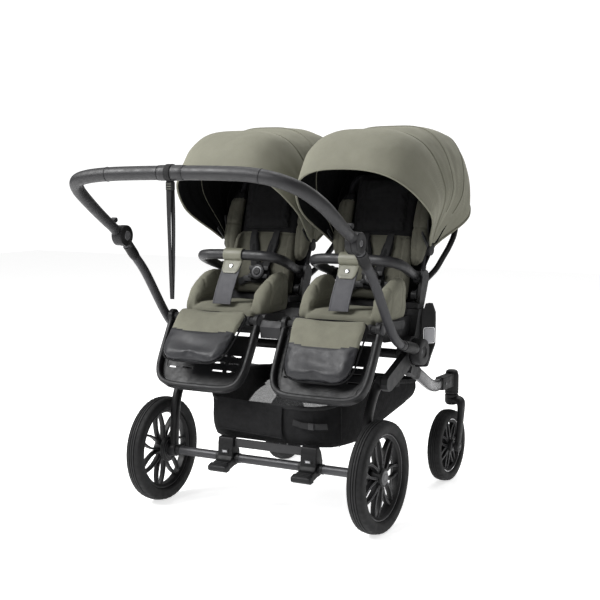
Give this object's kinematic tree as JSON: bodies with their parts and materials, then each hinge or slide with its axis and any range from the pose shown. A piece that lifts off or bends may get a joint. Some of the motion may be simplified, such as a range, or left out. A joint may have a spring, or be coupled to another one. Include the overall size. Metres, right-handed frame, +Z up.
{
  "type": "double stroller",
  "caption": "Side-by-side double stroller with parent-facing seats, folding canopies, a push handle, swivel front wheels, an under-seat basket and a linked foot brake.",
  "frame": {"origin": "bottom centre of the bounding box, on the ground between the wheels", "axes": "+X to the right of the person who pushes, +Y the direction of travel, +Z up; the seats face -Y"},
  "size_m": [0.7406, 1.1192, 1.0501],
  "materials": {
    "frame_black": "matte black",
    "frame_grey": "matte dark grey",
    "leg_silver": "brushed",
    "plastic_black": "fine grain",
    "button_grey": "satin",
    "tyre": "matte",
    "leatherette": "grained",
    "olive_fabric": "fine weave",
    "grey_pad": "grained",
    "black_fabric": "plain weave",
    "webbing": "webbing",
    "strap_grey": "webbing"
  },
  "bodies": {
    "chassis": {"hub_left": "plastic_black", "hub_right": "plastic_black", "front_leg_left": "leg_silver", "front_leg_right": "leg_silver", "caster_housing_left": "plastic_black", "caster_housing_right": "plastic_black", "cross_bar": "frame_black", "centre_post": "plastic_black", "basket": "black_fabric"},
    "push_frame": {"push_tube_left": "frame_grey", "push_tube_right": "frame_grey"},
    "handle": {"handlebar": "leatherette"},
    "strap": {"wrist_strap": "webbing"},
    "rear_frame": {"rear_leg_left": "frame_black", "rear_leg_right": "frame_black", "axle_beam": "frame_black"},
    "brake": {"brake_pedal_left": "plastic_black", "brake_pedal_right": "plastic_black", "brake_link_bar": "plastic_black"},
    "lock_button_left": {"lock_button_left": "button_grey"},
    "knuckle_button_left": {"knuckle_button_left": "button_grey"},
    "rear_wheel_left": {"rear_tyre_left": "tyre", "rear_rim_left": "plastic_black"},
    "caster_left": {"fork_left": "plastic_black"},
    "front_wheel_left": {"front_tyre_left": "tyre", "front_rim_left": "plastic_black"},
    "seat_left": {"seat_base_left": "plastic_black", "seat_cushion_left": "olive_fabric"},
    "back_left": {"back_frame_left": "frame_black", "back_cushion_left": "olive_fabric", "harness_left": "webbing", "buckle_left": "plastic_black", "canopy_rear_left": "olive_fabric"},
    "buckle_button_left": {"buckle_button_left": "button_grey"},
    "canopy_left": {"canopy_front_left": "olive_fabric"},
    "tray_left": {"tray_left": "plastic_black"},
    "calf_left": {"calf_pad_left": "grey_pad"},
    "bumper_left": {"bumper_bar_left": "leatherette", "bumper_strap_left": "strap_grey"},
    "lock_button_right": {"lock_button_right": "button_grey"},
    "knuckle_button_right": {"knuckle_button_right": "button_grey"},
    "rear_wheel_right": {"rear_tyre_right": "tyre", "rear_rim_right": "plastic_black"},
    "caster_right": {"fork_right": "plastic_black"},
    "front_wheel_right": {"front_tyre_right": "tyre", "front_rim_right": "plastic_black"},
    "seat_right": {"seat_base_right": "plastic_black", "seat_cushion_right": "olive_fabric"},
    "back_right": {"back_frame_right": "frame_black", "back_cushion_right": "olive_fabric", "harness_right": "webbing", "buckle_right": "plastic_black", "canopy_rear_right": "olive_fabric"},
    "buckle_button_right": {"buckle_button_right": "button_grey"},
    "canopy_right": {"canopy_front_right": "olive_fabric"},
    "tray_right": {"tray_right": "plastic_black"},
    "calf_right": {"calf_pad_right": "grey_pad"},
    "bumper_right": {"bumper_bar_right": "leatherette", "bumper_strap_right": "strap_grey"}
  },
  "joints": [
    {"name": "push_fold", "type": "hinge", "parent": "chassis", "child": "push_frame", "pos_m": [0, 0.0809, 0.448], "axis": [1, 0, 0], "range_deg": [-130, 0]},
    {"name": "handle_tilt", "type": "hinge", "parent": "push_frame", "child": "handle", "pos_m": [0, -0.3091, 0.765], "axis": [1, 0, 0], "range_deg": [-30, 45]},
    {"name": "strap_swing", "type": "hinge", "parent": "handle", "child": "strap", "pos_m": [-0.029, -0.5391, 0.935], "axis": [1, 0, 0], "range_deg": [-45, 30]},
    {"name": "rear_fold", "type": "hinge", "parent": "chassis", "child": "rear_frame", "pos_m": [0, -0.0691, 0.381], "axis": [1, 0, 0], "range_deg": [0, 38]},
    {"name": "brake_step", "type": "hinge", "parent": "rear_frame", "child": "brake", "pos_m": [0, -0.1491, 0.1486], "axis": [1, 0, 0], "range_deg": [0, 15]},
    {"name": "lock_press_left", "type": "slide", "parent": "push_frame", "child": "lock_button_left", "axis": [0.8, 0.6, 0], "range_m": [0, 0.0022], "stiffness_N_per_m": 300},
    {"name": "knuckle_press_left", "type": "slide", "parent": "handle", "child": "knuckle_button_left", "axis": [1, 0, 0], "range_m": [0, 0.0024], "stiffness_N_per_m": 300},
    {"name": "rear_spin_left", "type": "hinge", "parent": "rear_frame", "child": "rear_wheel_left", "pos_m": [-0.3433, -0.1491, 0.1486], "axis": [1, 0, 0], "continuous": true},
    {"name": "caster_swivel_left", "type": "hinge", "parent": "chassis", "child": "caster_left", "pos_m": [-0.283, 0.4859, 0.2612], "axis": [0, 0, 1], "continuous": true},
    {"name": "front_spin_left", "type": "hinge", "parent": "caster_left", "child": "front_wheel_left", "pos_m": [-0.283, 0.4509, 0.1087], "axis": [1, 0, 0], "continuous": true},
    {"name": "seat_release_left", "type": "slide", "parent": "chassis", "child": "seat_left", "axis": [0, 0, 1], "range_m": [0, 0.1]},
    {"name": "recline_left", "type": "hinge", "parent": "seat_left", "child": "back_left", "pos_m": [-0.186, 0.1359, 0.595], "axis": [1, 0, 0], "range_deg": [-25, 0]},
    {"name": "canopy_fold_left", "type": "hinge", "parent": "back_left", "child": "canopy_left", "pos_m": [-0.1705, 0.1909, 0.72], "axis": [1, 0, 0], "range_deg": [-28, 0]},
    {"name": "buckle_press_left", "type": "slide", "parent": "back_left", "child": "buckle_button_left", "axis": [0, 0.9613, -0.2756], "range_m": [0, 0.002], "stiffness_N_per_m": 300},
    {"name": "tray_swing_left", "type": "hinge", "parent": "seat_left", "child": "tray_left", "pos_m": [-0.186, -0.1111, 0.528], "axis": [1, 0, 0], "range_deg": [-50, 0]},
    {"name": "calf_swing_left", "type": "hinge", "parent": "tray_left", "child": "calf_left", "pos_m": [-0.186, -0.1111, 0.528], "axis": [1, 0, 0], "range_deg": [-10, 14]},
    {"name": "bumper_swing_left", "type": "hinge", "parent": "seat_left", "child": "bumper_left", "pos_m": [-0.186, 0.1509, 0.645], "axis": [1, 0, 0], "range_deg": [-22, 0]},
    {"name": "lock_press_right", "type": "slide", "parent": "push_frame", "child": "lock_button_right", "axis": [-0.8, 0.6, 0], "range_m": [0, 0.0022], "stiffness_N_per_m": 300},
    {"name": "knuckle_press_right", "type": "slide", "parent": "handle", "child": "knuckle_button_right", "axis": [-1, 0, 0], "range_m": [0, 0.0024], "stiffness_N_per_m": 300},
    {"name": "rear_spin_right", "type": "hinge", "parent": "rear_frame", "child": "rear_wheel_right", "pos_m": [0.3433, -0.1491, 0.1486], "axis": [1, 0, 0], "continuous": true},
    {"name": "caster_swivel_right", "type": "hinge", "parent": "chassis", "child": "caster_right", "pos_m": [0.283, 0.4859, 0.2612], "axis": [0, 0, 1], "continuous": true},
    {"name": "front_spin_right", "type": "hinge", "parent": "caster_right", "child": "front_wheel_right", "pos_m": [0.283, 0.4509, 0.1087], "axis": [1, 0, 0], "continuous": true},
    {"name": "seat_release_right", "type": "slide", "parent": "chassis", "child": "seat_right", "axis": [0, 0, 1], "range_m": [0, 0.1]},
    {"name": "recline_right", "type": "hinge", "parent": "seat_right", "child": "back_right", "pos_m": [0.186, 0.1359, 0.595], "axis": [1, 0, 0], "range_deg": [-25, 0]},
    {"name": "canopy_fold_right", "type": "hinge", "parent": "back_right", "child": "canopy_right", "pos_m": [0.1705, 0.1909, 0.72], "axis": [1, 0, 0], "range_deg": [-28, 0]},
    {"name": "buckle_press_right", "type": "slide", "parent": "back_right", "child": "buckle_button_right", "axis": [0, 0.9613, -0.2756], "range_m": [0, 0.002], "stiffness_N_per_m": 300},
    {"name": "tray_swing_right", "type": "hinge", "parent": "seat_right", "child": "tray_right", "pos_m": [0.186, -0.1111, 0.528], "axis": [1, 0, 0], "range_deg": [-50, 0]},
    {"name": "calf_swing_right", "type": "hinge", "parent": "tray_right", "child": "calf_right", "pos_m": [0.186, -0.1111, 0.528], "axis": [1, 0, 0], "range_deg": [-25, 0]},
    {"name": "bumper_swing_right", "type": "hinge", "parent": "seat_right", "child": "bumper_right", "pos_m": [0.186, 0.1509, 0.645], "axis": [1, 0, 0], "range_deg": [-22, 0]}
  ],
  "couplings": [
    {"joint": "rear_fold", "follows": "push_fold", "ratio": -0.2923},
    {"joint": "strap_swing", "follows": "handle_tilt", "ratio": -1}
  ]
}
